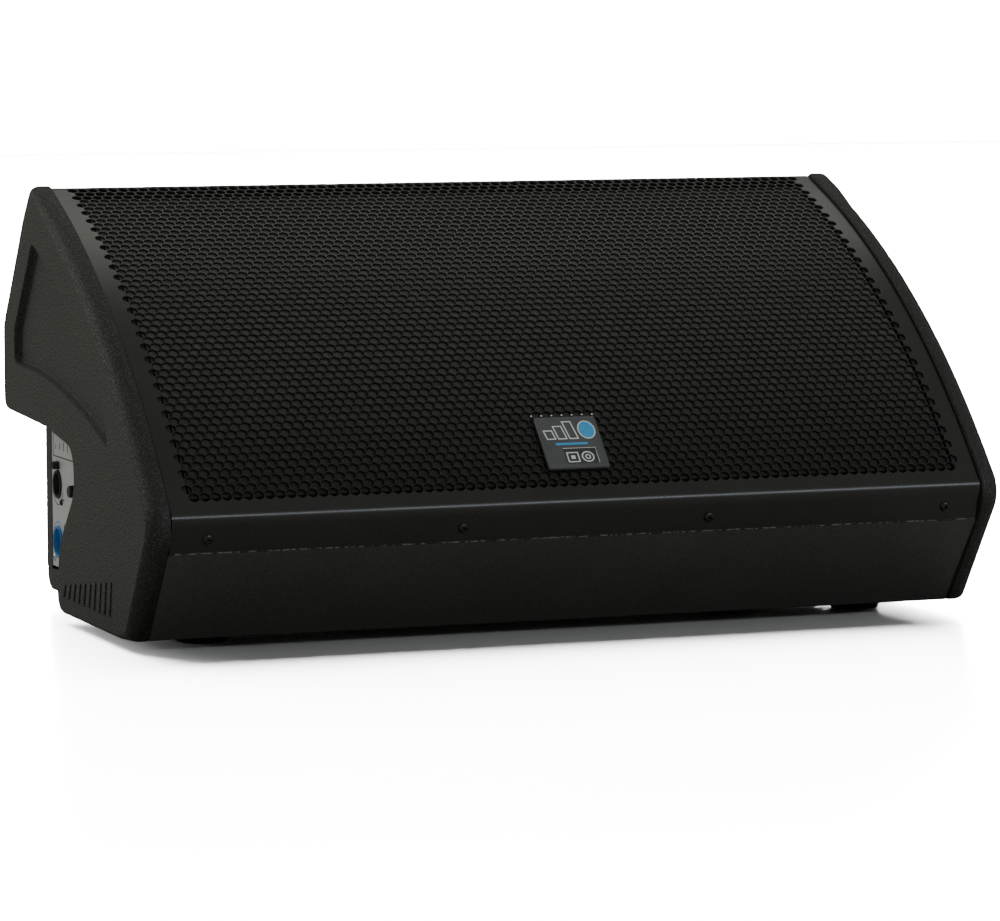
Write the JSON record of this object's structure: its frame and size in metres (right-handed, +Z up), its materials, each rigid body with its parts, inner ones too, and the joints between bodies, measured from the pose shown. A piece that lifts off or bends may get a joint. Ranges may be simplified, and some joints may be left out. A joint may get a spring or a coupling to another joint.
{
  "type": "stage monitor wedge",
  "caption": "Low floor-standing powered stage monitor with a curved perforated grille between thick side cheeks and a recessed side connector panel.",
  "frame": {"origin": "middle of the footprint, on the floor that the feet stand on", "axes": "+Z up, -Y towards the performer in front of the grille, +X to the right seen from the performer's side"},
  "size_m": [0.6, 0.3598, 0.2937],
  "materials": {
    "coated_plywood": "black sprayed coating with a fine pebbled texture over birch plywood",
    "plywood": "bare birch plywood, inside the cabinet",
    "grille_steel": "satin black powder coat on perforated sheet",
    "coated_steel": "black powder coat",
    "foam": "black open-cell foam",
    "foot_rubber": "matt black",
    "badge_plate": "dark grey plate with printed marks",
    "black_screw": "blackened steel",
    "panel_aluminium": "light silver-grey anodised sheet with white and dark print",
    "socket_black": "satin black moulding",
    "socket_blue": "satin blue moulding",
    "socket_grey": "satin grey moulding",
    "knob_black": "satin black",
    "knob_grey": "satin grey",
    "control_body": "plain moulded body",
    "indicator_lens": "green translucent lens",
    "driver_casting": "black powder coated casting",
    "ferrite": "dark grey ferrite",
    "cone_paper": "black doped paper",
    "surround_rubber": "black treated cloth roll",
    "spider_cloth": "amber impregnated cloth",
    "coil_copper": "enamelled copper wire on a former",
    "diaphragm_titanium": "thin titanium dome",
    "moulded_black": "satin black moulding",
    "heatsink_black": "black anodised extrusion",
    "circuit_board": "green solder mask",
    "transformer_core": "varnished laminations with taped windings",
    "capacitor_sleeve": "dark sleeve on an aluminium can",
    "cable_sheath": "black sheath",
    "wadding": "white polyester wadding"
  },
  "bodies": {
    "root": {"amp_heatsink": "heatsink_black", "badge": "badge_plate", "baffle_board": "plywood", "bottom_board": "coated_plywood", "capacitor_1": "capacitor_sleeve", "capacitor_2": "capacitor_sleeve", "cheek_left": "coated_plywood", "cheek_right": "coated_plywood", "connector_panel": "panel_aluminium", "damping_wadding": "wadding", "foot_front_left": "foot_rubber", "foot_front_right": "foot_rubber", "foot_rear_left": "foot_rubber", "foot_rear_right": "foot_rubber", "grille": "grille_steel", "grille_foam": "foam", "grille_screw_1": "black_screw", "grille_screw_2": "black_screw", "grille_screw_3": "black_screw", "grille_screw_4": "black_screw", "hf_cable": "cable_sheath", "hf_driver_body": "ferrite", "hf_rear_cap": "moulded_black", "horn_flare": "moulded_black", "inner_brace": "plywood", "input_board": "circuit_board", "kick_panel": "coated_plywood", "level_pot": "control_body", "nose_rail": "plywood", "notch_plate_right": "coated_steel", "port_tube_lower": "moulded_black", "port_tube_upper": "moulded_black", "power_board": "circuit_board", "power_inlet": "socket_blue", "power_link": "socket_grey", "power_transformer": "transformer_core", "preset_switch": "control_body", "rear_lower_panel": "coated_plywood", "rear_slope_panel": "coated_plywood", "side_wall_left": "plywood", "side_wall_right": "plywood", "status_light": "indicator_lens", "woofer_basket": "driver_casting", "woofer_cable": "cable_sheath", "woofer_magnet": "ferrite", "woofer_spider": "spider_cloth", "woofer_surround": "surround_rubber", "xlr_input": "socket_black", "xlr_link": "socket_black"},
    "level_knob": {"level_knob": "knob_black"},
    "preset_knob": {"preset_knob": "knob_grey"},
    "xlr_latch": {"xlr_latch": "socket_black"},
    "ground_lift": {"ground_lift_slider": "knob_black"},
    "woofer_moving": {"woofer_cone": "cone_paper", "woofer_dust_cap": "cone_paper", "voice_coil": "coil_copper"},
    "hf_moving": {"hf_diaphragm": "diaphragm_titanium"}
  },
  "joints": [
    {"name": "level_knob_turn", "type": "hinge", "parent": "root", "child": "level_knob", "pos_m": [-0.27, 0.0854, 0.0845], "axis": [-1, 0, 0], "range_deg": [-150, 150]},
    {"name": "preset_knob_turn", "type": "hinge", "parent": "root", "child": "preset_knob", "pos_m": [-0.27, 0.0799, 0.045], "axis": [-1, 0, 0], "range_deg": [-60, 60]},
    {"name": "xlr_latch_press", "type": "slide", "parent": "root", "child": "xlr_latch", "axis": [1, 0, 0], "range_m": [0, 0.002], "stiffness_N_per_m": 500, "springref_m": -0.0005},
    {"name": "ground_lift_slide", "type": "slide", "parent": "root", "child": "ground_lift", "axis": [0, -1, 0], "range_m": [0, 0.003]},
    {"name": "woofer_excursion", "type": "slide", "parent": "root", "child": "woofer_moving", "axis": [0, -0.5707, 0.8211], "range_m": [-0.006, 0.006], "stiffness_N_per_m": 2500, "deforming": ["woofer_surround", "woofer_spider"]},
    {"name": "hf_diaphragm_move", "type": "slide", "parent": "root", "child": "hf_moving", "axis": [0, -0.5707, 0.8211], "range_m": [-0.0003, 0.0003], "stiffness_N_per_m": 4000}
  ]
}
